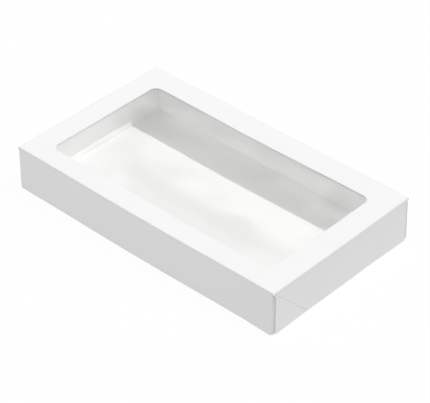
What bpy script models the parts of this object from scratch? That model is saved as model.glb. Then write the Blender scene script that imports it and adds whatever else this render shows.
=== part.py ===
"""Windowed paper food box.

A full-depth lid with a film window telescopes over a tray. Both are folded from white board and
glued at their four corners. Every flat panel between two creases is an object of its own, the way
a carton drawing lists its panels, and the lid is the tray's larger twin turned over. Metres, +Z
up, the front long wall faces -Y, and the origin is on the table under the middle of the box.
"""

import math
from dataclasses import dataclass

import bmesh
import bpy
from mathutils import Matrix, Vector

# Outside of the closed box.
BOX_LENGTH = 0.202
BOX_WIDTH = 0.119
BOX_HEIGHT = 0.030

# The board, the inner radius of its bends, and the gap between panels that meet at a crease or
# lie glued together.
BOARD = 0.00045
BEND_INSIDE = 0.00055
SEAM = 0.0003

# How the lid sits over the tray: the play all round, and its raw edge just off the table.
SIDE_PLAY = 0.0012
SKIRT_LIFT = 0.0003

# The die-cut window in the lid, and the film glued under it.
WINDOW_FRONT_MARGIN = 0.0135
WINDOW_REAR_MARGIN = 0.0165
WINDOW_END_MARGIN = 0.0155
WINDOW_RADIUS = 0.005
FILM = 0.0002
FILM_LAP = 0.007
FILM_RADIUS = 0.003

# The glue tabs, which turn in from the long walls and lie inside the end walls.
TAB_WIDTH = 0.020
TAB_RIM_DROP = 0.0015
TAB_CREASE_GAP = 0.0015

# The cut edges of the walls: end walls stop short of the corner, and lower corners are clipped.
END_SETBACK = 0.0024
RELIEF_HEIGHT = 0.0025
CORNER_CLIP = 0.0020

# The diagonal creases pressed into the end walls.
SCORE_WIDTH = 0.0010
SCORE_DEPTH_SHARE = 0.33

# How far a cutter runs past what it cuts.
OVERRUN = 0.002

# Straight pieces in each bend, each rounded corner and round each score cutter.
BEND_STEPS = 6
CORNER_STEPS = 10
SCORE_SIDES = 32

# Colour, alpha and roughness of the two stocks.
BOARD_FINISH = ((0.90, 0.90, 0.895), 1.0, 0.55)
FILM_FINISH = ((0.95, 0.96, 0.97), 0.12, 0.08)


@dataclass
class Carton:
    """One folded blank: its outside size, its depth from face to raw edge, and its empty."""

    name: str
    length: float
    width: float
    depth: float
    frame: bpy.types.Object
    parts: bpy.types.Collection
    cutters: bpy.types.Collection

    @property
    def bend_radius(self):
        """Outer radius of a crease."""
        return BEND_INSIDE + BOARD

    @property
    def tab_face(self):
        """Distance from the middle to a glue tab's outer face, one layer inside the end wall."""
        return self.length / 2 - BOARD - SEAM

    def add_piece(self, name, data, place, finish):
        """Place a piece in the carton's own axes, in a material of its own."""
        piece = bpy.data.objects.new(name, data)
        self.parts.objects.link(piece)
        piece.parent = self.frame
        piece.matrix_local = place
        data.materials.append(stock_material(f"{name}_stock", finish))
        return piece

    def add_cutter(self, name, data, place):
        """Place a cutter in the carton's own axes."""
        cutter = bpy.data.objects.new(name, data)
        self.cutters.objects.link(cutter)
        cutter.parent = self.frame
        cutter.matrix_local = place
        cutter.hide_render = True
        cutter.display_type = "WIRE"
        return cutter


def clear_scene():
    for item in list(bpy.data.objects):
        bpy.data.objects.remove(item, do_unlink=True)


def add_collection(name):
    collection = bpy.data.collections.new(name)
    bpy.context.scene.collection.children.link(collection)
    return collection


def stock_material(name, finish):
    colour, alpha, roughness = finish
    material = bpy.data.materials.new(name)
    material.use_nodes = True
    shader = material.node_tree.nodes["Principled BSDF"]
    shader.inputs["Base Color"].default_value = (*colour, 1)
    shader.inputs["Alpha"].default_value = alpha
    shader.inputs["Roughness"].default_value = roughness
    shader.inputs["Metallic"].default_value = 0
    return material


def quarter_turn(centre, radius, start, end, steps):
    """Points round a quarter circle from one tangent point to the other."""
    points = []
    for step in range(steps + 1):
        angle = start + (end - start) * step / steps
        points.append(centre + radius * Vector((math.cos(angle), math.sin(angle))))
    return points


def rounded_rectangle(half_length, front, rear, radius):
    """Outline with round corners, from y = front to y = rear, as long on +X as on -X."""
    centres = (
        (half_length - radius, rear - radius),
        (radius - half_length, rear - radius),
        (radius - half_length, front + radius),
        (half_length - radius, front + radius),
    )
    outline = []
    for quarter, centre in enumerate(centres):
        start = quarter * math.pi / 2
        outline += quarter_turn(Vector(centre), radius, start, start + math.pi / 2, CORNER_STEPS)
    return outline


def sheet_curve(name, outlines, thickness):
    """Flat sheet cut to its first outline, with any further outlines as holes in it."""
    curve = bpy.data.curves.new(name, "CURVE")
    curve.dimensions = "2D"
    curve.fill_mode = "BOTH"
    curve.extrude = thickness / 2
    for outline in outlines:
        spline = curve.splines.new("POLY")
        spline.points.add(len(outline) - 1)
        for point, (x, y) in zip(spline.points, outline):
            point.co = (x, y, 0, 1)
        spline.use_cyclic_u = True
    return curve


def curve_mesh(curve):
    """Mesh of a sheet curve, with its caps welded to its rim."""
    holder = bpy.data.objects.new(curve.name, curve)
    bpy.context.scene.collection.objects.link(holder)
    evaluated = holder.evaluated_get(bpy.context.evaluated_depsgraph_get())
    mesh = bpy.data.meshes.new_from_object(evaluated)
    bpy.data.objects.remove(holder, do_unlink=True)
    shape = bmesh.new()
    shape.from_mesh(mesh)
    bmesh.ops.remove_doubles(shape, verts=shape.verts, dist=SEAM / 10)
    shape.to_mesh(mesh)
    shape.free()
    return mesh


def add_bent_board(carton, name, path, sweep, place):
    """Board whose outer face follows the path over the sweep, with its thickness inside that."""
    shape = bmesh.new()
    verts = [shape.verts.new(point) for point in path]
    edges = [shape.edges.new(pair) for pair in zip(verts, verts[1:])]
    swept = bmesh.ops.extrude_edge_only(shape, edges=edges)["geom"]
    moved = [element for element in swept if isinstance(element, bmesh.types.BMVert)]
    bmesh.ops.translate(shape, verts=moved, vec=sweep)
    mesh = bpy.data.meshes.new(name)
    shape.to_mesh(mesh)
    shape.free()
    board = carton.add_piece(name, mesh, place, BOARD_FINISH)
    solidify = board.modifiers.new("board thickness", "SOLIDIFY")
    solidify.thickness = BOARD
    solidify.offset = -1
    solidify.use_even_offset = True
    return board


def cut(piece, cutter, operation):
    boolean = piece.modifiers.new(cutter.name, "BOOLEAN")
    boolean.operation = operation
    boolean.solver = "EXACT"
    boolean.object = cutter


def add_face(carton, name, holes):
    """The flat main panel: the top of the lid, or the floor of the tray."""
    half_length = carton.length / 2 - carton.bend_radius - SEAM
    half_width = carton.width / 2 - carton.bend_radius - SEAM
    edge = [
        (half_length, half_width),
        (-half_length, half_width),
        (-half_length, -half_width),
        (half_length, -half_width),
    ]
    place = Matrix.Translation((0, 0, BOARD / 2))
    carton.add_piece(name, sheet_curve(name, [edge] + holes, BOARD), place, BOARD_FINISH)


def add_wall(carton, name, place, crease_half, wall_half, relief):
    """A wall and the quarter bend at its crease. It stands in local XZ and faces local +Y."""
    radius = carton.bend_radius
    bend = quarter_turn(Vector((-radius, radius)), radius, 0, -math.pi / 2, BEND_STEPS)
    profile = [Vector((0, carton.depth))] + bend
    span = 2 * (crease_half + OVERRUN)
    path = [(-span / 2, y, z) for y, z in profile]
    wall = add_bent_board(carton, name, path, (span, 0, 0), place)

    side = [
        (crease_half, -OVERRUN),
        (crease_half, radius),
        (wall_half, radius + relief),
        (wall_half, carton.depth - CORNER_CLIP),
        (wall_half - CORNER_CLIP - OVERRUN, carton.depth + OVERRUN),
    ]
    outline = side + [(-x, z) for x, z in reversed(side)]
    blank = curve_mesh(sheet_curve(f"{name}_outline", [outline], 2 * (radius + OVERRUN)))
    upright = place @ Matrix.Rotation(math.pi / 2, 4, "X")
    cut(wall, carton.add_cutter(f"{name}_outline", blank, upright), "INTERSECT")
    return wall


def add_score(carton, wall, place, side):
    """Round groove at 45 degrees across an end wall, from the corner where its creases meet."""
    depth = SCORE_DEPTH_SHARE * BOARD
    radius = (SCORE_WIDTH ** 2 / 4 + depth ** 2) / (2 * depth)
    rise = carton.depth + OVERRUN
    shape = bmesh.new()
    bmesh.ops.create_cone(
        shape,
        cap_ends=True,
        segments=SCORE_SIDES,
        radius1=radius,
        radius2=radius,
        depth=rise * math.sqrt(2),
    )
    name = f"{wall.name}_score_{'front' if side < 0 else 'rear'}"
    mesh = bpy.data.meshes.new(name)
    shape.to_mesh(mesh)
    shape.free()
    corner = Vector((side * carton.width / 2, radius - depth, 0))
    along = Vector((-side, 0, 1))
    turn = along.to_track_quat("Z", "Y").to_matrix().to_4x4()
    groove_place = place @ Matrix.Translation(corner + along * rise / 2) @ turn
    cut(wall, carton.add_cutter(name, mesh, groove_place), "DIFFERENCE")


def add_tab(carton, name, end, side):
    """Glue tab: it turns in from a long wall and lies flat inside the gusset of an end wall."""
    radius = carton.bend_radius
    half_width = carton.width / 2
    bend_centre = Vector((carton.tab_face - radius, half_width - radius))
    plan = quarter_turn(bend_centre, radius, math.pi / 2, 0, BEND_STEPS)
    plan.append(Vector((carton.tab_face, half_width - TAB_WIDTH)))
    if end * side < 0:
        plan.reverse()
    foot = radius + SEAM
    path = [(end * x, side * y, foot) for x, y in plan]
    rise = carton.depth - TAB_RIM_DROP - foot
    tab = add_bent_board(carton, name, path, (0, 0, rise), Matrix())

    slant_start = radius + TAB_CREASE_GAP * math.sqrt(2)
    reach = TAB_WIDTH + OVERRUN
    below_crease = [
        (half_width - radius, foot - OVERRUN),
        (half_width - radius, slant_start),
        (half_width - reach, slant_start + reach - radius),
        (half_width - reach, foot - OVERRUN),
    ]
    outline = [(side * y, z) for y, z in below_crease]
    clip = curve_mesh(sheet_curve(f"{name}_slant", [outline], 2 * (BOARD + OVERRUN)))
    at_tab = Matrix.Translation((end * carton.tab_face, 0, 0))
    upright = at_tab @ Matrix(((0, 0, 1), (1, 0, 0), (0, 1, 0))).to_4x4()
    cut(tab, carton.add_cutter(f"{name}_slant", clip, upright), "DIFFERENCE")


def add_walls(carton, end_names):
    """Four walls, with scores in the two end walls and a glue tab inside each of their gussets."""
    sides = ((-1, "front"), (1, "rear"))
    long_crease_half = carton.length / 2 - carton.bend_radius - SEAM
    long_wall_half = carton.tab_face - carton.bend_radius - SEAM
    for side, side_name in sides:
        facing = Matrix.Rotation((1 - side) * math.pi / 2, 4, "Z")
        place = facing @ Matrix.Translation((0, carton.width / 2, 0))
        name = f"{carton.name}_{side_name}_wall"
        add_wall(carton, name, place, long_crease_half, long_wall_half, 0)

    end_crease_half = carton.width / 2 - SEAM
    end_wall_half = carton.width / 2 - END_SETBACK
    for end, end_name in zip((-1, 1), end_names):
        facing = Matrix.Rotation(-end * math.pi / 2, 4, "Z")
        place = facing @ Matrix.Translation((0, carton.length / 2, 0))
        name = f"{carton.name}_{end_name}_end"
        wall = add_wall(carton, name, place, end_crease_half, end_wall_half, RELIEF_HEIGHT)
        for side, side_name in sides:
            add_score(carton, wall, place, side)
            add_tab(carton, f"{carton.name}_{side_name}_{end_name}_tab", end, side)


def add_film(lid, half_length, front, rear):
    """Clear film glued to the underside of the lid's top, lapping the window all round."""
    outline = rounded_rectangle(half_length + FILM_LAP, front - FILM_LAP, rear + FILM_LAP, FILM_RADIUS)
    place = Matrix.Translation((0, 0, BOARD + SEAM + FILM / 2))
    lid.add_piece("window_film", sheet_curve("window_film", [outline], FILM), place, FILM_FINISH)


def main():
    clear_scene()
    parts = add_collection("windowed_food_box")
    cutters = add_collection("cutters")
    lid_frame = bpy.data.objects.new("lid_frame", None)
    tray_frame = bpy.data.objects.new("tray_frame", None)
    parts.objects.link(lid_frame)
    parts.objects.link(tray_frame)
    lid_frame.matrix_world = Matrix.Translation((0, 0, BOX_HEIGHT)) @ Matrix.Rotation(math.pi, 4, "Y")

    # Turning the lid over about Y swaps its ends, so its -X end is the box's right one.
    lid = Carton("lid", BOX_LENGTH, BOX_WIDTH, BOX_HEIGHT - SKIRT_LIFT, lid_frame, parts, cutters)
    window_half = lid.length / 2 - WINDOW_END_MARGIN
    window_front = WINDOW_FRONT_MARGIN - lid.width / 2
    window_rear = lid.width / 2 - WINDOW_REAR_MARGIN
    window = rounded_rectangle(window_half, window_front, window_rear, WINDOW_RADIUS)
    add_face(lid, "lid_top_panel", [window])
    add_walls(lid, ("right", "left"))
    add_film(lid, window_half, window_front, window_rear)

    tray_length = 2 * (lid.tab_face - BOARD - SIDE_PLAY)
    tray_width = lid.width - 2 * (BOARD + SIDE_PLAY)
    tray_depth = BOX_HEIGHT - BOARD - SEAM
    tray = Carton("tray", tray_length, tray_width, tray_depth, tray_frame, parts, cutters)
    add_face(tray, "tray_floor_panel", [])
    add_walls(tray, ("left", "right"))


main()
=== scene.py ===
# %% [markdown]
# # A windowed paper food box
#
# The real box is two folded cartons and a sheet of clear film. The lid is one die-cut blank of
# white board with a window in its top, the tray is a second blank that is slightly smaller, and
# the film is glued under the window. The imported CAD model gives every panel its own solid. Here
# each blank becomes one continuous skin again, because the real creases are bends in one sheet.
#
# Lengths are in metres, +Z is up, the front long wall faces -Y, and the origin is on the table
# under the middle of the box.

import math

import bmesh
import bpy
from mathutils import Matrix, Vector


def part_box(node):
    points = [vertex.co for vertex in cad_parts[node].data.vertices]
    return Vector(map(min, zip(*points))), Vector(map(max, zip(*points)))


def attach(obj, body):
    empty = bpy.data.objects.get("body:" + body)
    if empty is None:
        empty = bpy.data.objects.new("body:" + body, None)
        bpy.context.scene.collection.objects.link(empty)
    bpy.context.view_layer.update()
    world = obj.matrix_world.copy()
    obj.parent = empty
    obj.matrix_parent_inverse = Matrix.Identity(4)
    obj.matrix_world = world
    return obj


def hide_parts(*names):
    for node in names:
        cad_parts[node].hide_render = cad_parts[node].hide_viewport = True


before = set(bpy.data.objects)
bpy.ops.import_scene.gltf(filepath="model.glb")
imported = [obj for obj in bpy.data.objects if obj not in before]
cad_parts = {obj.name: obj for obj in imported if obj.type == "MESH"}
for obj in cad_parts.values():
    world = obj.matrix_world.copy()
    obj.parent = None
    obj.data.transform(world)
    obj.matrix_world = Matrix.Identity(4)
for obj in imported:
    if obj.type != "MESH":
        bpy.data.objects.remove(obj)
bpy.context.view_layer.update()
MM = 0.001
print("nodes in the frame:", len(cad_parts))

# %% [markdown]
# ## Hands that select
#
# Blender's mesh operators act on whatever is selected. By hand one would click the edges of a
# wall. In a script the selection is made by place: a test looks at the middle of each corner, edge
# or face and says whether it belongs. Everything is let go first, because the frame arrives
# selected.

# %% Selecting by place
NEAR = 0.01 * MM


def take(piece):
    """Make one piece the active one and the only one selected."""
    bpy.ops.object.select_all(action="DESELECT")
    bpy.context.view_layer.objects.active = piece
    piece.select_set(True)


def pick(kind, belongs):
    """Select the corners, edges or faces whose middle passes the test, and only those."""
    bpy.ops.mesh.select_mode(type=kind)
    bpy.ops.mesh.select_all(action="DESELECT")
    mesh = bmesh.from_edit_mesh(bpy.context.object.data)
    parts = {"VERT": mesh.verts, "EDGE": mesh.edges, "FACE": mesh.faces}[kind]
    count = 0
    for part in parts:
        corners = [part] if kind == "VERT" else part.verts
        middle = sum((corner.co for corner in corners), Vector()) / len(corners)
        if belongs(middle):
            part.select_set(True)
            count += 1
    bmesh.update_edit_mesh(bpy.context.object.data)
    return count


print("a place counts as met within, mm:", round(NEAR / MM, 3))

# %% [markdown]
# ## Hands that shape
#
# Five moves make all the pieces: laying down a grid, writing a size and place into a mesh, cutting
# along a plane, extruding in rows and moving corners. Each could be typed as its operator every
# time. As functions they keep the settings in one place and let the later cells read like the steps
# of folding a box.

# %% Shaping
def settle(piece, size=(1, 1, 1), place=(0, 0, 0)):
    """Give the active piece its size and place, and write both into its mesh."""
    piece.scale = size
    piece.location = place
    bpy.ops.object.transform_apply(location=True, rotation=True, scale=True)


def start_grid(name, length, width, columns, rows):
    """A flat grid of the given size, in edit mode."""
    bpy.ops.object.select_all(action="DESELECT")
    bpy.ops.mesh.primitive_grid_add(x_subdivisions=columns, y_subdivisions=rows, size=1)
    piece = bpy.context.object
    piece.name = piece.data.name = name
    settle(piece, (length, width, 1))
    bpy.ops.object.mode_set(mode="EDIT")
    return piece


def slice_faces(belongs, point, normal, clear=False):
    """Cut the chosen faces along a plane. With clear, what lies past the plane is taken away."""
    pick("FACE", belongs)
    bpy.ops.mesh.bisect(plane_co=point, plane_no=normal, clear_outer=clear, threshold=NEAR)


def grow_rows(steps):
    """Extrude the selected edges by each step in turn."""
    for step in steps:
        bpy.ops.mesh.extrude_edges_move(TRANSFORM_OT_translate={"value": step})


def shift(belongs, offset, spread=0, falloff="SMOOTH"):
    """Move chosen corners. With spread, their neighbours follow, less and less, up to that far."""
    pick("VERT", belongs)
    bpy.ops.transform.translate(
        value=offset,
        use_proportional_edit=spread > 0,
        proportional_size=max(spread, MM),
        proportional_edit_falloff=falloff,
    )


# %% [markdown]
# ## The measures of the two blanks
#
# Both cartons have the same build, so one set of steps folds both, and only their outside sizes
# differ. Those sizes are read from the CAD nodes. A blank is folded the way a tray is, lying on
# its face with its walls standing up. The lid is turned over at the end.

# %% Measures
BOARD = 0.45 * MM
BEND = 0.75 * MM
GLUE_GAP = 0.03 * MM
CORNER_BEND = 0.6 * MM


class Blank:
    """Outside size of a folded carton, from its face to its raw edge."""

    def __init__(self, carton):
        self.name = carton
        self.half_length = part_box(f"{carton}_right_end")[1].x
        self.half_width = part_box(f"{carton}_rear_wall")[1].y
        low, high = (corner.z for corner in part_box(f"{carton}_rear_wall"))
        self.depth = high - low
        self.tab_face = self.half_length - BOARD - GLUE_GAP
        self.tab_bend = self.tab_face - CORNER_BEND
        self.flat_half_length = self.half_length - BEND
        self.flat_half_width = self.half_width - BEND
        size = (2 * self.half_length, 2 * self.half_width, self.depth)
        print(carton, "blank, mm:", [round(value / MM, 2) for value in size])


lid_size = Blank("lid")
tray_size = Blank("tray")
lid_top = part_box("lid_top_panel")[1].z

# %% [markdown]
# ## The face of a blank
#
# The face is the flat panel that everything folds up from. It could be a single quad, but a board
# is never perfectly flat, so it starts as a grid that can take a gentle warp later. It is cut
# along the lines where bends start, and once more 0.3 mm beside them. Those hems keep the smooth
# shading of a bend from spreading over the flat board. At its four corners the face reaches out in
# small ears, which close the corners of the box beside the bends.

# %% Lay down a face
FACE_COLUMNS = 40
FACE_ROWS = 24
HEM = 0.3 * MM
EAR = 0.7 * MM


def everywhere(middle):
    return True


def lay_face(name, size):
    piece = start_grid(
        name, 2 * size.flat_half_length, 2 * size.flat_half_width, FACE_COLUMNS, FACE_ROWS
    )
    for x in (size.tab_bend - HEM, size.tab_bend, size.flat_half_length - HEM):
        slice_faces(everywhere, (x, 0, 0), (1, 0, 0))
        slice_faces(everywhere, (-x, 0, 0), (1, 0, 0))
    for y in (size.flat_half_width - HEM, HEM - size.flat_half_width):
        slice_faces(everywhere, (0, y, 0), (0, 1, 0))
    for side in (-1, 1):
        shift(
            lambda m: abs(m.x) > size.flat_half_length - NEAR
            and side * m.y > size.flat_half_width - NEAR,
            (0, side * EAR, 0),
        )
    return piece


print("grid of a face:", FACE_COLUMNS, "by", FACE_ROWS)

# %% [markdown]
# ## Long walls
#
# A crease in board is a bend of about its own thickness inside. Folding could be faked with a
# bevel, but spinning the edge of the face a quarter turn gives the bend its true radius, and
# extruding what the spin leaves selected gives the wall. The rows of the wall come from where
# things happen on it: the bend, the clipped lower corner and the raw edge.

# %% Raise the long walls
QUARTER = math.pi / 2
BEND_STEPS = 6
WALL_ROWS = 5
CLIP = 0.8 * MM


def even_levels(start, end, count):
    return [start + (end - start) * step / count for step in range(1, count + 1)]


def rises(start, levels):
    """The steps up from one level to the next."""
    return [(0, 0, high - low) for low, high in zip([start] + levels, levels)]


def raise_long_wall(size, side):
    edge_y = size.flat_half_width
    pick("EDGE", lambda m: side * m.y > edge_y - NEAR and abs(m.x) < size.tab_bend)
    bpy.ops.mesh.spin(
        steps=BEND_STEPS, angle=QUARTER, center=(0, side * edge_y, BEND), axis=(-side, 0, 0)
    )
    foot = BEND + HEM
    levels = [foot] + even_levels(foot, size.depth - CLIP, WALL_ROWS) + [size.depth]
    grow_rows(rises(BEND, levels))
    for end in (-1, 1):
        shift(
            lambda m: side * m.y > edge_y
            and end * m.x > size.tab_bend - HEM - NEAR
            and m.z > size.depth - NEAR,
            (-end * CLIP, 0, 0),
        )


print("radius inside a bend, mm:", round((BEND - BOARD) / MM, 2))

# %% [markdown]
# ## End walls
#
# An end wall stops short of the corner and leaves a narrow strip where the tab's bend shows. A
# knife cut could take that strip off the finished wall. But its rows already lie where its outline
# steps in, at the shoulder and at the clipped corner, so moving the last corners of each row is
# enough and leaves clean faces.

# %% Raise the end walls
RELIEF = 2.5 * MM
# The strip of tab left showing here is darkened in colour as painted shade of its recess.
SETBACK = 2.4 * MM


def raise_end_wall(size, end):
    edge_x = size.flat_half_length
    pick("EDGE", lambda m: end * m.x > edge_x - NEAR and m.z < NEAR)
    bpy.ops.mesh.spin(
        steps=BEND_STEPS, angle=QUARTER, center=(end * edge_x, 0, BEND), axis=(0, end, 0)
    )
    shoulder = BEND + RELIEF
    levels = [BEND + HEM, shoulder]
    levels += even_levels(shoulder, size.depth - CLIP, WALL_ROWS) + [size.depth]
    grow_rows(rises(BEND, levels))
    hem_y = size.flat_half_width - HEM
    step_in = SETBACK - BEND
    trims = (
        (size.flat_half_width + EAR, shoulder, EAR),
        (hem_y, shoulder, step_in),
        (hem_y - step_in, size.depth, CLIP),
    )
    for side in (-1, 1):
        for from_y, from_z, inward in trims:
            shift(
                lambda m: end * m.x > edge_x
                and side * m.y > from_y - NEAR
                and m.z > from_z - NEAR,
                (0, -side * inward, 0),
            )


print("end walls stop short of the corner, mm:", round(SETBACK / MM, 2))

# %% [markdown]
# ## Glue tabs
#
# Each long wall carries on round the corner as a tab, which is glued inside the end wall. It bends
# one layer further in than the end wall's outer face. Its slanted edge stays clear of the diagonal
# crease, or the box could not be folded flat. One cut along a slanted plane makes that edge.

# %% Turn in the tabs
TAB = 20 * MM
TAB_CREASE_GAP = 0.3 * MM
TAB_COLUMNS = 4


def turn_in_tab(size, side, end):
    corner_y = size.half_width - CORNER_BEND
    pick(
        "EDGE",
        lambda m: side * m.y > size.half_width - NEAR
        and end * m.x > size.tab_bend - NEAR
        and BEND + HEM < m.z < size.depth - CLIP,
    )
    bpy.ops.mesh.spin(
        steps=BEND_STEPS,
        angle=QUARTER,
        center=(end * size.tab_bend, side * corner_y, 0),
        axis=(0, 0, end * side),
    )
    tip_y = size.half_width - TAB
    step = (corner_y - HEM - tip_y) / TAB_COLUMNS
    grow_rows([(0, -side * HEM, 0)] + TAB_COLUMNS * [(0, -side * step, 0)])
    slant_start = BEND + TAB_CREASE_GAP * math.sqrt(2)
    slice_faces(
        lambda m: abs(end * m.x - size.tab_face) < NEAR and 0 < side * m.y < corner_y,
        (0, side * corner_y, slant_start),
        (0, -side, -1),
        clear=True,
    )


print("width of a tab, mm:", round(TAB / MM, 2))

# %% [markdown]
# ## Diagonal creases
#
# The end walls carry a crease at 45 degrees from each corner, along which they fold when the
# carton lies flat. It is pressed into the board from outside. Five cuts side by side give a line
# with a shoulder on each side, and pressing the middle line in makes a groove that catches real
# shade. The front corners were creased harder than the rear ones, and the material also darkens
# their grooves as painted shade.

# %% Press the creases
SCORE_HALF = 0.5 * MM
FRONT_SCORE = 0.12 * MM
REAR_SCORE = 0.05 * MM


def press_crease(size, side, end):
    depth = FRONT_SCORE if side < 0 else REAR_SCORE
    outer = lambda m: end * m.x > size.half_length - NEAR and side * m.y > 0
    for offset in (-SCORE_HALF - HEM, -SCORE_HALF, 0, SCORE_HALF, SCORE_HALF + HEM):
        slice_faces(outer, (0, side * (size.half_width + offset), 0), (0, side, 1))
    # The middle line of a front crease is also darkened in colour, as painted shade.
    pressed = lambda m: outer(m) and abs(side * m.y + m.z - size.half_width) < NEAR
    shift(pressed, (-end * depth, 0, 0))


print("depth of the creases, mm:", [round(depth / MM, 2) for depth in (FRONT_SCORE, REAR_SCORE)])

# %% [markdown]
# ## Both blanks, folded
#
# All the steps of the fold are there, so both blanks are folded now. Then each corner gets a mark
# for the material, which darkens the colour there. The mark is half on the main bends, for the
# stretched coat and as painted shade along the fold. It is full in the grooves of the front creases
# and on the narrow strip of tab beside each end wall, where the darkening is painted shade of the
# groove and the recess. It has to be done before the panels spring, while each bend is still
# exactly in its place. It could be left to a painted mask, but a test of the place is exact and
# needs no picture.

# %% Fold both blanks
MAIN_BEND_WEAR_AND_SHADE = 0.5
WELD_WITHIN = NEAR / 10


def bend_wear_and_shade_at(point, size):
    """How much the colour darkens: 0 on flat board, half on the main bends for the stretched coat
    and painted shade, and 1 as painted shade in the grooves of the front creases and on the tab
    strips.
    """
    x, y = abs(point.x), abs(point.y)
    # main bends: half the darkening, for the stretched coat and as painted shade along the fold
    if NEAR < point.z < BEND - NEAR:
        return MAIN_BEND_WEAR_AND_SHADE
    # the tab's strip beside the end wall: darkened as painted shade of its recess
    in_shaded_strip = abs(x - size.tab_face) < NEAR and y > size.half_width - SETBACK
    # the pressed groove of a front crease: darkened as painted shade
    in_shaded_groove = REAR_SCORE + NEAR < size.half_length - x < FRONT_SCORE + NEAR
    return float(point.z > BEND and (in_shaded_strip or in_shaded_groove))


def face_outwards(piece):
    """Turn all faces outwards, which is down for the panel that the blank lies on."""
    bpy.ops.object.mode_set(mode="EDIT")
    bpy.ops.mesh.select_all(action="SELECT")
    bpy.ops.mesh.remove_doubles(threshold=WELD_WITHIN)
    bpy.ops.mesh.normals_make_consistent(inside=False)
    bpy.ops.object.mode_set(mode="OBJECT")
    lowest = min(piece.data.polygons, key=lambda face: face.center.z + face.center.length)
    if lowest.normal.z >= 0:
        piece.data.flip_normals()


def fold_blank(size):
    piece = lay_face(f"folded_{size.name}", size)
    for side in (-1, 1):
        raise_long_wall(size, side)
    for end in (-1, 1):
        raise_end_wall(size, end)
        for side in (-1, 1):
            turn_in_tab(size, side, end)
            press_crease(size, side, end)
    bpy.ops.object.mode_set(mode="OBJECT")
    face_outwards(piece)
    marks = piece.data.attributes.new("bend", "FLOAT", "POINT")
    for mark, corner in zip(marks.data, piece.data.vertices):
        mark.value = bend_wear_and_shade_at(corner.co, size)
    return piece


folded_tray = fold_blank(tray_size)
folded_lid = fold_blank(lid_size)
for piece in (folded_tray, folded_lid):
    print(piece.name, "skin:", len(piece.data.polygons), "faces")

# %% [markdown]
# ## The tray's spring
#
# Board that has been folded keeps a little spring, and no wall is dead flat. A lattice round the
# tray could bend it, but moving a few corners with a falloff is simpler and gives the same broad
# curve. The tray's walls draw in between the corners. Its end walls also curve in at the foot,
# where their folds were pressed less hard than the lid's, and in the photo that foot catches the
# light as a pale line inside the window.

# %% Spring of the tray
WALL_MIDDLE = 6 * MM
WALL_REACH = 85 * MM
WALL_PULL = 0.35 * MM
END_REACH = 50 * MM
END_PULL = 0.25 * MM
SOFT_FOOT = 2.3 * MM
SOFT_FOOT_HEIGHT = 20 * MM


def spring_tray(size):
    rim = size.depth - NEAR
    for side in (-1, 1):
        long_wall = lambda m: m.z > rim and side * m.y > size.flat_half_width
        middle = lambda m: long_wall(m) and abs(m.x) < WALL_MIDDLE
        shift(middle, (0, -side * WALL_PULL, 0), WALL_REACH)
        end_wall = lambda m: m.z > rim and side * m.x > size.tab_face
        middle = lambda m: end_wall(m) and abs(m.y) < WALL_MIDDLE
        shift(middle, (-side * END_PULL, 0, 0), END_REACH)
        foot = lambda m: m.z < BEND + HEM + NEAR and side * m.x > size.flat_half_length - NEAR
        shift(foot, (-side * SOFT_FOOT, 0, 0), SOFT_FOOT_HEIGHT, falloff="SHARP")


print("tray drawn in, mm:", [round(pull / MM, 2) for pull in (WALL_PULL, END_PULL, SOFT_FOOT)])

# %% [markdown]
# ## The lid's spring
#
# The lid was pulled over the tray, so its front wall bows out by less than a millimetre, and the
# foot of its right end flares a little at both corners. Each of these is again one move of a few
# corners, with a falloff that is as wide as the curve looks in the photo.

# %% Spring of the lid
LID_BOW = 0.8 * MM
LID_END_BOW = 0.35 * MM
REAR_CORNER = 8 * MM
REAR_FLARE = 0.8 * MM
REAR_FLARE_REACH = 32 * MM
NEAR_CORNER = 4 * MM
NEAR_FLARE = 0.6 * MM
NEAR_FLARE_REACH = 28 * MM


def spring_lid(size):
    """Spring of the lid, which still lies on its face: its right end is at -X for now."""
    rim = size.depth - NEAR
    front = lambda m: m.y < -size.flat_half_width and abs(m.x) < WALL_MIDDLE
    shift(front, (0, -LID_BOW, 0), WALL_REACH)
    right_end = lambda m: m.z > rim and m.x < -size.tab_face
    middle = lambda m: right_end(m) and abs(m.y) < WALL_MIDDLE
    shift(middle, (-LID_END_BOW, 0, 0), END_REACH)
    rear_corner = lambda m: right_end(m) and m.y > size.half_width - REAR_CORNER
    shift(rear_corner, (-REAR_FLARE, 0, 0), REAR_FLARE_REACH)
    near_edge = NEAR_CORNER - size.half_width
    near_corner = lambda m: m.z > rim and m.x < -size.tab_bend and m.y < near_edge
    shift(near_corner, (-NEAR_FLARE, -NEAR_FLARE, 0), NEAR_FLARE_REACH)


print("lid let out, mm:", [round(bow / MM, 2) for bow in (LID_BOW, REAR_FLARE, NEAR_FLARE)])

# %% [markdown]
# ## From a skin to a board
#
# No panel is dead flat either. A Displace modifier with a cloud texture adds ripples of about a
# tenth of a millimetre, which a bump in the material could only feign at a shallow angle. Its mid
# level of 1 lets the board move inwards only, so the box keeps its size. Then the skin gets the
# thickness of the board on its inside with Solidify, and the raw cut edges get a material of their
# own, because they show the fibres of the core and not the white coat.

# %% Spring, ripple and thicken both boards
RIPPLE = 0.12 * MM
RIPPLE_SIZE = 45 * MM

ripple_cloud = bpy.data.textures.new("board_ripple", "CLOUDS")
ripple_cloud.noise_scale = RIPPLE_SIZE


def add_ripple(piece, strength):
    ripple = piece.modifiers.new("ripple", "DISPLACE")
    ripple.texture = ripple_cloud
    ripple.strength = strength
    ripple.mid_level = 1
    bpy.ops.object.modifier_apply(modifier=ripple.name)


def give_thickness(piece, thickness, offset):
    solidify = piece.modifiers.new("thickness", "SOLIDIFY")
    solidify.thickness = thickness
    solidify.offset = offset
    solidify.use_even_offset = True
    solidify.material_offset_rim = 1
    bpy.ops.object.modifier_apply(modifier=solidify.name)


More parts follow.
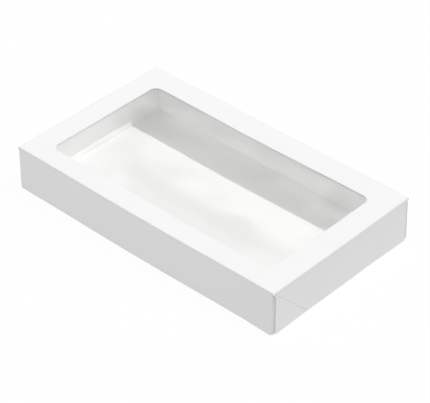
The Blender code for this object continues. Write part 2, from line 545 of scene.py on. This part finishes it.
for piece, size, spring in (
    (folded_tray, tray_size, spring_tray),
    (folded_lid, lid_size, spring_lid),
):
    take(piece)
    bpy.ops.object.mode_set(mode="EDIT")
    spring(size)
    bpy.ops.object.mode_set(mode="OBJECT")
    add_ripple(piece, RIPPLE)
    give_thickness(piece, BOARD, -1)
    print(piece.name, "with its thickness:", len(piece.data.polygons), "faces")

# %% [markdown]
# ## Turning the lid over
#
# The lid lies on its face so far, the way its blank was folded. It could have been folded upside
# down from the start, but then each step above would need two forms. So it is turned over about Y
# once and set down so that its top is where the CAD has it.

# %% Turn the lid over
take(folded_lid)
folded_lid.rotation_euler = (0, math.pi, 0)
settle(folded_lid, place=(0, 0, lid_top))
print("lid top at", round(max(v.co.z for v in folded_lid.data.vertices) / MM, 3), "mm")

# %% [markdown]
# ## The die for the window
#
# The real window is die-cut: a steel rule goes straight through the board and leaves a sharp edge
# with round corners. The opening could be built into the face's grid, but a Boolean with a block
# cuts it in one go. The block's upright edges are rounded by a bevel. Its rear side bows in by
# less than a millimetre, because the long rear strip of the board gives way a little in its
# middle. Its faces take the second material, the one for raw edges, which the cut hands on to the
# board.

# %% Shape the window's die
WINDOW_FRONT = -46 * MM
WINDOW_REAR = 43 * MM
WINDOW_HALF = 85.5 * MM
WINDOW_RADIUS = 5 * MM
WINDOW_CORNER_STEPS = 12
DIE_HEIGHT = 4 * MM
REAR_EDGE_BOW = 0.8 * MM
REAR_EDGE_REACH = 80 * MM
REAR_EDGE_CUTS = 8

bpy.ops.object.select_all(action="DESELECT")
bpy.ops.mesh.primitive_cube_add(size=1)
cutter = bpy.context.object
settle(
    cutter,
    (2 * WINDOW_HALF, WINDOW_REAR - WINDOW_FRONT, DIE_HEIGHT),
    (0, (WINDOW_FRONT + WINDOW_REAR) / 2, lid_top),
)
bpy.ops.object.mode_set(mode="EDIT")
upright_edges = pick(
    "EDGE", lambda m: abs(abs(m.x) - WINDOW_HALF) < NEAR and abs(m.z - lid_top) < NEAR
)
bpy.ops.mesh.bevel(offset=WINDOW_RADIUS, segments=WINDOW_CORNER_STEPS, affect="EDGES")
for step in range(1 - REAR_EDGE_CUTS, REAR_EDGE_CUTS):
    slice_faces(everywhere, (step * REAR_EDGE_REACH / REAR_EDGE_CUTS, 0, 0), (1, 0, 0))
rear_middle = lambda m: m.y > WINDOW_REAR - NEAR and abs(m.x) < MM
shift(rear_middle, (0, -REAR_EDGE_BOW, 0), REAR_EDGE_REACH)
bpy.ops.object.mode_set(mode="OBJECT")
for face in cutter.data.polygons:
    face.material_index = 1
print("upright edges rounded:", upright_edges)

# %% [markdown]
# ## The window film
#
# The film is a clear sheet, glued to the underside of the lid's top and 7 mm wider than the window
# all round. Glued film is never quite flat: it hangs a little between its glued edges and has long
# soft waves, which is what bends the reflections in it. It starts as a grid like the board, gets
# its rounded corners by a vertex bevel, sags by a soft move of its middle, and gets both its faces
# from Solidify. The CAD keeps a gap for the glue, and here the film is lifted so that most of it
# closes.

# %% Stretch the film
FILM_SAG = 0.10 * MM
SAG_HALF_LENGTH = 60 * MM
SAG_HALF_WIDTH = 3 * MM
SAG_REACH = 45 * MM
FILM_LIFT = 0.26 * MM
FILM_RADIUS = 3 * MM
FILM_CORNER_STEPS = 6

film_low, film_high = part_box("window_film")
film_middle = (film_low + film_high) / 2
film = start_grid(
    "clear_film", film_high.x - film_low.x, film_high.y - film_low.y, FACE_COLUMNS, FACE_ROWS
)
half_film = (film_high - film_low) / 2
pick("VERT", lambda m: abs(m.x) > half_film.x - NEAR and abs(m.y) > half_film.y - NEAR)
bpy.ops.mesh.bevel(offset=FILM_RADIUS, segments=FILM_CORNER_STEPS, affect="VERTICES")
sagging = lambda m: abs(m.x) < SAG_HALF_LENGTH and abs(m.y) < SAG_HALF_WIDTH
shift(sagging, (0, 0, -FILM_SAG), SAG_REACH)
bpy.ops.object.mode_set(mode="OBJECT")
settle(film, place=film_middle + Vector((0, 0, FILM_LIFT)))
give_thickness(film, film_high.z - film_low.z, 0)
print("film:", len(film.data.polygons), "faces")

# %% [markdown]
# ## A small language for materials
#
# Node trees grow long when every Math node is placed by hand. The class below wraps one output
# socket, so that Python's own signs add the Math nodes: `1 - mask * 0.2` becomes two of them.
# Every other node comes from its one method, `node`, which sets the node's own settings first and
# then fills its sockets with plain values or with links.

# %% Sockets that can be added and multiplied
class Tone:
    """One output socket of a node tree."""

    def __init__(self, tree, socket=None):
        self.tree = tree
        self.socket = socket

    def node(self, kind, settings=None, sockets=None, out=0):
        made = self.tree.nodes.new(kind)
        for name, value in (settings or {}).items():
            setattr(made, name, value)
        for name, value in (sockets or {}).items():
            if isinstance(value, Tone):
                self.tree.links.new(value.socket, made.inputs[name])
            else:
                made.inputs[name].default_value = value
        return Tone(self.tree, made.outputs[out])

    def maths(self, operation, first, second):
        return self.node("ShaderNodeMath", {"operation": operation}, {0: first, 1: second})

    def __add__(self, other):
        return self.maths("ADD", self, other)

    def __sub__(self, other):
        return self.maths("SUBTRACT", self, other)

    def __rsub__(self, other):
        return self.maths("SUBTRACT", other, self)

    def __mul__(self, other):
        return self.maths("MULTIPLY", self, other)

    def __pow__(self, other):
        return self.maths("POWER", self, other)

    __radd__ = __add__
    __rmul__ = __mul__


# %% [markdown]
# ## What every finish needs
#
# Some steps return in each finish: an empty material, a mix of two colours, the parts of a place
# and the way out to the surface. They could be written out each time, but then every material would
# be three times as long and a slip in one of them hard to see. So each is a helper with a plain
# name.

# %% Start, mix and show a finish
COLOUR_A, COLOUR_B, COLOUR_OUT = 6, 7, 2  # the Mix node's sockets for colours


def new_finish(name):
    """An empty material, its tree and the object coordinates of what it is put on."""
    material = bpy.data.materials.new(name)
    material.use_nodes = True
    material.node_tree.nodes.clear()
    start = Tone(material.node_tree)
    place = start.node("ShaderNodeTexCoord", out="Object")
    return material, start, place


def mix_colours(share, first, second):
    """A colour between two, by a share from 0 to 1."""
    return share.node(
        "ShaderNodeMix",
        {"data_type": "RGBA"},
        {0: share, COLOUR_A: first, COLOUR_B: second},
        out=COLOUR_OUT,
    )


def axes(place):
    """The X, Y and Z parts of a place or a direction."""
    parts = place.node("ShaderNodeSeparateXYZ", {}, {"Vector": place}).socket.node
    return [Tone(place.tree, part) for part in parts.outputs]


def show(start, surface):
    output = start.tree.nodes.new("ShaderNodeOutputMaterial")
    start.tree.links.new(surface.socket, output.inputs["Surface"])


# %% [markdown]
# ## Noise and relief
#
# Paper is never even. Noise gives it clouds and a fine tooth, and a Bump node turns a height into a
# tilt of the surface. A picture of paper could do that too, but it would need a file and would blur
# from close by. The noise reads the piece's own coordinates in metres, so its scale is a number of
# cells per metre and means the same on each piece.

# %% Noise and relief
def from_0_to_1(value):
    return value.node("ShaderNodeClamp", {}, {"Value": value})


def noise(place, scale, detail=2.0, stretch=(1, 1, 1)):
    """Noise of a given fineness in cells per metre, from -0.5 to 0.5."""
    stretched = place.node("ShaderNodeMapping", {}, {"Vector": place, "Scale": stretch})
    cloud = place.node(
        "ShaderNodeTexNoise", {}, {"Vector": stretched, "Scale": scale, "Detail": detail}
    )
    return cloud - 0.5


def bumped(height, strength, depth):
    """The normal of a surface with this relief."""
    return height.node(
        "ShaderNodeBump", {}, {"Strength": strength, "Distance": depth, "Height": height}
    )


# %% [markdown]
# ## White coated board
#
# The outside of the board has a thin white clay coat: nearly even in colour, a soft satin, with
# faint clouds where the coat is thinner and a fine tooth from the fibres below. At a bend the coat
# is stretched and cracks a little, so the greyer fibres show and the shine goes. The same greyer
# colour is also painted shade: along the main bends, in the grooves of the front creases and on the
# recessed tab strips. One material with a few layers of noise does this, driven by the mark that
# each corner carries.

# %% Coated board
# The second colour of each board is its greyer fibre, and also the painted shade of folds, grooves
# and recesses.
LID_WHITE, LID_FIBRE_AND_SHADE = (0.905, 0.905, 0.900, 1), (0.69, 0.688, 0.68, 1)
TRAY_WHITE, TRAY_FIBRE_AND_SHADE = (0.910, 0.905, 0.890, 1), (0.74, 0.735, 0.72, 1)
CLOUD_SCALE, CLOUD_SHARE = 90, 0.10
TOOTH_SCALE, TOOTH_SHARE = 1500, 0.06
CRACK_SCALE, WEAR_AND_SHADE_SHARE = 2600, 0.75
STRAND_SCALE, STRAND_STRETCH = 500, (1, 6, 6)
FLAT_SHARE = 0.04
FLAT_ROUGHNESS, TOOTH_ROUGHNESS, BEND_ROUGHNESS = 0.46, 0.15, 0.2
TOOTH_HEIGHT, STRAND_HEIGHT = 0.6, 0.4
COAT_BUMP, COAT_DEPTH = 0.25, 0.03 * MM
COAT_GLOSS = 0.35


def coated_board(name, coat, fibre_and_shade):
    material, start, place = new_finish(name)
    bend = start.node("ShaderNodeAttribute", {"attribute_name": "bend"}, out="Fac")
    clouds = noise(place, CLOUD_SCALE, detail=3)
    tooth = noise(place, TOOTH_SCALE, detail=3)
    strands = noise(place, STRAND_SCALE, stretch=STRAND_STRETCH)
    cracks = noise(place, CRACK_SCALE)
    # Where a corner is marked, the colour turns greyer: stretched coat on the bends, and painted
    # shade in folds, grooves and recesses.
    wear_and_painted_shade = bend * (WEAR_AND_SHADE_SHARE + cracks)
    share = clouds * CLOUD_SHARE + tooth * TOOTH_SHARE + wear_and_painted_shade + FLAT_SHARE
    roughness = FLAT_ROUGHNESS + tooth * TOOTH_ROUGHNESS + bend * BEND_ROUGHNESS
    height = tooth * TOOTH_HEIGHT + strands * STRAND_HEIGHT
    board = start.node(
        "ShaderNodeBsdfPrincipled",
        {},
        {
            "Base Color": mix_colours(share, coat, fibre_and_shade),
            "Roughness": roughness,
            "Normal": bumped(height, COAT_BUMP, COAT_DEPTH),
            "Specular IOR Level": COAT_GLOSS,
        },
    )
    show(start, board)
    return material


lid_coat = coated_board("lid_coated_board", LID_WHITE, LID_FIBRE_AND_SHADE)
tray_coat = coated_board("tray_coated_board", TRAY_WHITE, TRAY_FIBRE_AND_SHADE)
print("coated board:", len(lid_coat.node_tree.nodes), "nodes")

# %% [markdown]
# ## Raw cut edges
#
# Where the knife went through, the board shows its core: layers of pressed fibre, a shade greyer
# than the coat and quite matt. Noise that is stretched along the sheet and fine across it reads as
# those layers.

# %% Cut edge
CORE_LIGHT, CORE_DARK = (0.91, 0.907, 0.90, 1), (0.85, 0.845, 0.835, 1)
LAYER_SCALE, LAYER_STRETCH, LAYER_SHARE = 700, (1, 1, 12), 0.7
SPECK_SCALE, SPECK_SHARE = 3500, 0.5
CORE_SHARE = 0.5
CORE_BUMP, CORE_DEPTH = 0.5, 0.04 * MM
CORE_ROUGHNESS, CORE_GLOSS = 0.85, 0.2


def cut_edge(name):
    material, start, place = new_finish(name)
    layers = noise(place, LAYER_SCALE, detail=3, stretch=LAYER_STRETCH)
    specks = noise(place, SPECK_SCALE)
    share = CORE_SHARE + layers * LAYER_SHARE + specks * SPECK_SHARE
    edge = start.node(
        "ShaderNodeBsdfPrincipled",
        {},
        {
            "Base Color": mix_colours(share, CORE_LIGHT, CORE_DARK),
            "Roughness": CORE_ROUGHNESS,
            "Normal": bumped(layers + specks, CORE_BUMP, CORE_DEPTH),
            "Specular IOR Level": CORE_GLOSS,
        },
    )
    show(start, edge)
    return material


raw_edge = cut_edge("raw_board_edge")
print("cut edge:", len(raw_edge.node_tree.nodes), "nodes")

# %% [markdown]
# ## Clear film
#
# Film lets nearly all light through and mirrors the rest, more at a glancing angle. A glass shader
# would bend the view and block the lamps' light, which would leave the tray dark. Mixing a
# Transparent shader with a Glossy one is lighter, and the share of gloss follows Schlick's rule
# for plastic.

# %% Clear film
WHITE = (1, 1, 1, 1)
FILM_TINT = (0.985, 0.985, 0.985, 1)
STRAIGHT_ON_GLOSS = 0.055
SCHLICK_POWER = 5
FILM_ROUGHNESS = 0.06
WAVE_SCALE = 22
WAVE_BUMP, WAVE_HEIGHT = 0.4, 0.6 * MM


def clear_film(name):
    material, start, place = new_finish(name)
    waves = bumped(noise(place, WAVE_SCALE, detail=1), WAVE_BUMP, WAVE_HEIGHT)
    facing = start.node(
        "ShaderNodeLayerWeight", {}, {"Blend": 0.5, "Normal": waves}, out="Facing"
    )
    gloss_share = STRAIGHT_ON_GLOSS + (1 - STRAIGHT_ON_GLOSS) * facing ** SCHLICK_POWER
    through = start.node("ShaderNodeBsdfTransparent", {}, {"Color": FILM_TINT})
    mirror = start.node(
        "ShaderNodeBsdfAnisotropic",
        {},
        {"Color": WHITE, "Roughness": FILM_ROUGHNESS, "Normal": waves},
    )
    show(start, start.node("ShaderNodeMixShader", {}, {0: gloss_share, 1: through, 2: mirror}))
    return material


film_clear = clear_film("clear_window_film")
print("clear film:", len(film_clear.node_tree.nodes), "nodes")

# %% [markdown]
# ## Finishes on, window out
#
# A cut face takes its material by slot number from the block that cuts it, so the finishes go on
# first and the window is cut after them. The smooth shading comes last of all, because it looks at
# the angle of each edge, and the cut has made new ones.

# %% Put the finishes on and cut the window
SMOOTH_UP_TO = math.radians(32)

for piece, coat in ((folded_lid, lid_coat), (folded_tray, tray_coat)):
    piece.data.materials.append(coat)
    piece.data.materials.append(raw_edge)
film.data.materials.append(film_clear)
for material in folded_lid.data.materials:
    cutter.data.materials.append(material)

take(folded_lid)
die = folded_lid.modifiers.new("window_die", "BOOLEAN")
die.operation = "DIFFERENCE"
die.solver = "EXACT"
die.object = cutter
bpy.ops.object.modifier_apply(modifier=die.name)
bpy.data.objects.remove(cutter)

for piece in (folded_lid, folded_tray, film):
    take(piece)
    bpy.ops.object.shade_smooth_by_angle(angle=SMOOTH_UP_TO)
    lows = [round(min(v.co[axis] for v in piece.data.vertices) / MM, 2) for axis in range(3)]
    highs = [round(max(v.co[axis] for v in piece.data.vertices) / MM, 2) for axis in range(3)]
    print(piece.name, "spans, mm:", lows, highs, len(piece.data.polygons), "faces")

# %% [markdown]
# ## Pieces to bodies
#
# The tray stays on the table and the lid slides up off it. The film goes with the lid. Each piece
# hangs under an empty named for its body, and the CAD nodes that it stands for are hidden. Parents
# set by hand would do for one file, but with named bodies the box can be set to any pose.

# %% Ride and replace
def panels(carton, face):
    walls = [f"{carton}_{wall}" for wall in ("front_wall", "rear_wall", "left_end", "right_end")]
    tabs = [
        f"{carton}_{side}_{end}_tab" for side in ("front", "rear") for end in ("left", "right")
    ]
    return [face] + walls + tabs


for piece, body, slot, nodes in (
    (folded_lid, "lid", "lid_board", panels("lid", "lid_top_panel")),
    (folded_tray, "tray", "tray_board", panels("tray", "tray_floor_panel")),
    (film, "lid", "film", ["window_film"]),
):
    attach(piece, body)
    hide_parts(*nodes)
    print(piece.name, "rides on", body, "for", len(nodes), "nodes")

# %% [markdown]
# ## Table
#
# The box lies on a light table, a sheet of white acrylic lit from below. That is why the
# photograph has a white ground with hardly any shadow, and why the foot of the front wall isn't
# dark. A plain white floor could do it with far more lamp light, but that would bleach the board.
# So nearly all of the table's light is its own, and to the eye and in a mirror it is white. The
# small rest is lit from above, which keeps a faint shadow. The table glows a little more in front
# of the box and a little less on its right, as the tones of the two walls show.

# %% Table
TABLE_RADIUS, TABLE_CORNERS = 25, 96
TABLE_LIGHT, TABLE_DARK = (0.86, 0.86, 0.86, 1), (0.7, 0.7, 0.7, 1)
GRAIN_SCALE, GRAIN_SHARE, TABLE_SHARE = 40, 0.05, 0.03
TABLE_GLOW = 0.92
TABLE_SEEN = 0.97
TABLE_LAMP = 0.69
FRONT_GAIN, FRONT_FROM = 0.03, -0.04
RIGHT_LOSS, RIGHT_FROM = 0.10, 0.07
FADE_PER_METRE = 8

bpy.ops.object.select_all(action="DESELECT")
bpy.ops.mesh.primitive_circle_add(
    vertices=TABLE_CORNERS, radius=TABLE_RADIUS, fill_type="NGON"
)
table = bpy.context.object
table.name = "table"


def in_view(start):
    """1 for what the eye sees straight, in a gloss or through the film, and 0 for other light."""
    camera_ray, glossy_ray, through_ray = (
        start.node("ShaderNodeLightPath", out=f"Is {kind} Ray")
        for kind in ("Camera", "Glossy", "Transmission")
    )
    return start.maths("MAXIMUM", start.maths("MAXIMUM", camera_ray, glossy_ray), through_ray)


material, start, place = new_finish("light_table")
grain = noise(place, GRAIN_SCALE)
table_colour = mix_colours(grain * GRAIN_SHARE + TABLE_SHARE, TABLE_LIGHT, TABLE_DARK)
lit = start.node("ShaderNodeBsdfDiffuse", {}, {"Color": table_colour})
seen = in_view(start)
to_right, to_rear, _ = axes(place)
at_right = from_0_to_1((to_right - RIGHT_FROM) * FADE_PER_METRE)
in_front = from_0_to_1((to_rear - FRONT_FROM) * -FADE_PER_METRE)
lamp = TABLE_LAMP + in_front * FRONT_GAIN - at_right * RIGHT_LOSS
lamp = lamp * (1 - seen) + seen
own_light = start.node("ShaderNodeEmission", {}, {"Color": WHITE, "Strength": lamp})
share = TABLE_GLOW + seen * (TABLE_SEEN - TABLE_GLOW)
show(start, start.node("ShaderNodeMixShader", {}, {0: share, 1: lit, 2: own_light}))
table.data.materials.append(material)
print("table:", TABLE_RADIUS, "m from its middle to its edge")

# %% [markdown]
# ## Key lamp
#
# The key is one small lamp, far away to the upper right and behind, as the sharp shadow inside the
# tray shows. An area lamp would do too, but a sun has no distance to set, and its angle alone says
# how soft the shadow's edge is.

# %% Key lamp
KEY_TOWARDS = Vector((0.44, 0.374, 1))
KEY_STRENGTH = 1.69
KEY_COLOUR = (0.985, 0.985, 1.0)
KEY_SPREAD = math.radians(0.8)

key_lamp = bpy.data.lights.new("key", "SUN")
key_lamp.energy = KEY_STRENGTH
key_lamp.angle = KEY_SPREAD
key_lamp.color = KEY_COLOUR
key = bpy.data.objects.new("key", key_lamp)
bpy.context.scene.collection.objects.link(key)
key.location = KEY_TOWARDS
key.rotation_euler = KEY_TOWARDS.to_track_quat("Z", "Y").to_euler()
key_way = KEY_TOWARDS.normalized()
print("way to the key:", [round(part, 3) for part in key_way])

# %% [markdown]
# ## Sky
#
# The rest of the light is a soft sky, which could be one even white. But then every wall would have
# one tone, so it is bright round the key and low in front, and dark low on the right, where the end
# wall faces away from the white walls of the studio. To the eye, and in the film, it is plain
# white.

# %% Sky
SKY_LOW = 0.15
SKY_RISE = 0.11
SKY_RIGHT = -0.70
SKY_FRONT = 1.88
SKY_NEAR_KEY = 1.42
SKY_KEY_POWER = 6
SKY_SEEN = 1.0

world = bpy.data.worlds.new("soft_sky")
world.use_nodes = True
world.node_tree.nodes.clear()
bpy.context.scene.world = world
sky = Tone(world.node_tree)
to_right, to_rear, height = axes(sky.node("ShaderNodeTexCoord", out="Generated"))
low = 1 - height
right_side = sky.maths("MAXIMUM", to_right, 0) * low
front_side = sky.maths("MAXIMUM", 0 - to_rear, 0) * low ** 2
facing_key = to_right * key_way.x + to_rear * key_way.y + height * key_way.z
near_key = sky.maths("MAXIMUM", facing_key, 0) ** SKY_KEY_POWER
strength = SKY_LOW + height * SKY_RISE + right_side * SKY_RIGHT + front_side * SKY_FRONT
strength = sky.maths("MAXIMUM", strength + near_key * SKY_NEAR_KEY, 0.0)
seen = in_view(sky)
strength = strength * (1 - seen) + seen * SKY_SEEN
shell = sky.node("ShaderNodeBackground", {}, {"Color": WHITE, "Strength": strength})
output = world.node_tree.nodes.new("ShaderNodeOutputWorld")
world.node_tree.links.new(shell.socket, output.inputs["Surface"])
print("sky:", len(world.node_tree.nodes), "nodes")

# %% [markdown]
# ## The soft box in the film
#
# The film mirrors what hangs behind the box, up on the left: a level soft box. It whitens the
# floor at the rear and on the left, and leaves a long grey patch in front where its light falls
# off. The patch could be painted on the film, but then it would stay put from every side. A lit
# sheet gives it by reflection. The place of the sheet follows from the camera: a point of the film
# mirrors the point of the sheet that lies in line with the camera's image below the table.

# %% Soft box
SOFT_BOX_HEIGHT = 1.0
SOFT_BOX_GLOW = 2.35
MIRRORED_HALF_LENGTH = 110 * MM
MIRRORED_HALF_WIDTH = 70 * MM
CAMERA_PLACE = Vector((0.63487, -0.69460, 0.72077))

film_z = film_middle.z
sunk_camera = Vector((CAMERA_PLACE.x, CAMERA_PLACE.y, 2 * film_z - CAMERA_PLACE.z))
reach = (SOFT_BOX_HEIGHT - sunk_camera.z) / (film_z - sunk_camera.z)


def mirrored_at(x, y):
    """The point of the soft box that the camera sees in the film at x, y."""
    return sunk_camera + (Vector((x, y, film_z)) - sunk_camera) * reach


near_corner = mirrored_at(-MIRRORED_HALF_LENGTH, -MIRRORED_HALF_WIDTH)
far_corner = mirrored_at(MIRRORED_HALF_LENGTH, MIRRORED_HALF_WIDTH)
bpy.ops.object.select_all(action="DESELECT")
bpy.ops.mesh.primitive_plane_add(size=1)
soft_box = bpy.context.object
soft_box.name = "soft_box"
settle(
    soft_box,
    (far_corner.x - near_corner.x, far_corner.y - near_corner.y, 1),
    (near_corner + far_corner) / 2,
)
print("soft box, m:", [round(value, 3) for value in (*near_corner, *far_corner)])

# %% [markdown]
# ## The light on the soft box
#
# The real light falls off softly towards the edges of the sheet. A colour ramp could draw that, but
# only in one direction at a time, so the light is a sum of soft steps. Each says how much it adds,
# and where it rises along X and along Y, in millimetres on the film, because that is where its
# effect is judged. The first white part lies at the rear and on the left. What it leaves in front
# is the grey patch, which has a few steps of its own.

# %% Soft steps of light
PATCH_REAR, PATCH_LEFT = (-20, -9), (-38, -50)
STEPS_ALL_OVER = (
    (1.3, (-61, -70), (9, -4)),  # white at the left end, in front
    (-0.7, (-38, -50), (6, -6)),  # less between it and the patch
    (0.4, (52, 74), (6, -6)),  # lighter at the right end, in front
    (0.85, None, (10, 20)),  # a light band towards the rear
    (-1.1, None, (27.5, 30)),  # the end of that band
    (0.15, None, (35, 41)),  # a little more at the very rear
    (0.5, (56, 72), (22, 33)),  # lighter in the rear right corner
    (0.4, (-66, -80), (29, 38)),  # lighter in the rear left corner
)
STEPS_IN_PATCH = (
    (-0.2, None, (-42, -24)),  # darkest in the rear half of the patch
    (0.22, None, (-24, -32)),  # lighter along the window's front edge
    (0.65, (-18, -36), (-18, -36)),  # lighter in its front left corner
)

material, start, place = new_finish("soft_box")
place_parts = axes(place)


def rise(axis, dark, full):
    """0 to 1 from where the film mirrors it at dark to where it does at full, both in mm."""
    low, high = (mirrored_at(edge * MM, edge * MM)[axis] for edge in (dark, full))
    return from_0_to_1((place_parts[axis] - low) * (1 / (high - low)))


def soft_steps(steps):
    """The sum of soft steps."""
    total = 0
    for weight, in_x, in_y in steps:
        step = rise(1, *in_y) * weight
        total = total + (step * rise(0, *in_x) if in_x else step)
    return total


bright = start.maths("MAXIMUM", rise(1, *PATCH_REAR), rise(0, *PATCH_LEFT))
glow = bright + soft_steps(STEPS_ALL_OVER) + (1 - bright) * soft_steps(STEPS_IN_PATCH)
strength = SKY_SEEN + glow * (SOFT_BOX_GLOW - SKY_SEEN)
sheet = start.node("ShaderNodeEmission", {}, {"Color": WHITE, "Strength": strength})
show(start, sheet)
soft_box.data.materials.append(material)
soft_box.visible_camera = False
print("soft steps:", len(STEPS_ALL_OVER) + len(STEPS_IN_PATCH))

# %% [markdown]
# ## Camera
#
# The place and the lens come from fitting a pinhole camera to the box's straight edges: a long
# lens, 37 degrees above the table and 42 degrees round from the front wall. Setting them by eye
# would be quicker, but then no edge could be compared with the photo's.

# %% Camera
LENS_LENGTH = 166.78
SENSOR_WIDTH = 36
CAMERA_TURN = (52.861, -0.257, 42.450)

lens = bpy.data.cameras.new("camera")
lens.lens = LENS_LENGTH
lens.sensor_width = SENSOR_WIDTH
camera = bpy.data.objects.new("camera", lens)
bpy.context.scene.collection.objects.link(camera)
camera.location = CAMERA_PLACE
camera.rotation_euler = [math.radians(angle) for angle in CAMERA_TURN]
bpy.context.scene.camera = camera
bpy.context.scene.view_settings.view_transform = "Standard"
print("camera at, m:", [round(part, 3) for part in CAMERA_PLACE], "lens, mm:", LENS_LENGTH)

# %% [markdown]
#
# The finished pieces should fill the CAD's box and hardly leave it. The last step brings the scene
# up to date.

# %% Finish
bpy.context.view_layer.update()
